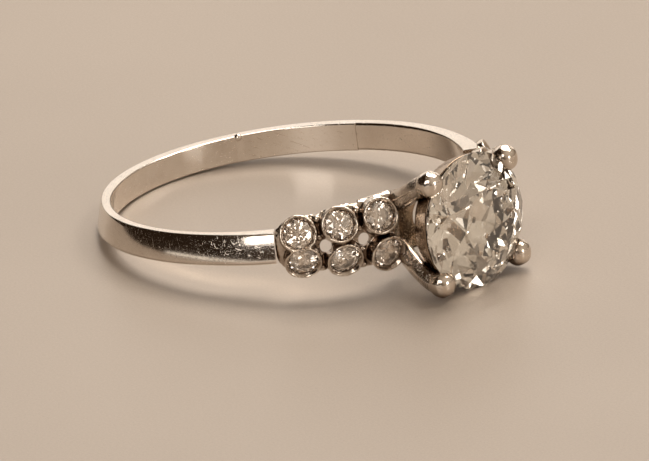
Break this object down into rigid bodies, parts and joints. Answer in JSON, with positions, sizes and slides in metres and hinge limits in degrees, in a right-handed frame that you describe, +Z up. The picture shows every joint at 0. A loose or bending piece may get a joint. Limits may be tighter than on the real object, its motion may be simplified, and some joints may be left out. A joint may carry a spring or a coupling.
{
  "type": "engagement ring",
  "caption": "Resized vintage ring with a four-claw head holding a round brilliant, and shoulders set with two rows of small round stones in cups.",
  "frame": {"origin": "centre of the plan bounding box, on the table the ring lies on", "axes": "+X from the back of the band towards the stone, +Z up from the table; the finger axis leans 6.9 degrees from +Z towards the back of the band"},
  "size_m": [0.022, 0.0182, 0.0063],
  "materials": {
    "white_metal": "polished white gold with fine wear scratches",
    "insert_metal": "slightly newer polished white gold",
    "diamond": "clear, cut and polished",
    "melee_diamond": "clear, cut and polished, slightly dull from wear"
  },
  "bodies": {
    "root": {"bearing_collar": "white_metal", "centre_stone": "diamond", "claw_far_lower": "white_metal", "claw_far_upper": "white_metal", "claw_near_lower": "white_metal", "claw_near_upper": "white_metal", "head_base": "white_metal", "melee_far_lower_1": "melee_diamond", "melee_far_lower_2": "melee_diamond", "melee_far_lower_3": "melee_diamond", "melee_far_upper_1": "melee_diamond", "melee_far_upper_2": "melee_diamond", "melee_far_upper_3": "melee_diamond", "melee_near_lower_1": "melee_diamond", "melee_near_lower_2": "melee_diamond", "melee_near_lower_3": "melee_diamond", "melee_near_upper_1": "melee_diamond", "melee_near_upper_2": "melee_diamond", "melee_near_upper_3": "melee_diamond", "shank_long": "white_metal", "shank_short": "white_metal", "shoulder_far": "white_metal", "shoulder_near": "white_metal", "sizing_insert": "insert_metal"}
  },
  "joints": []
}
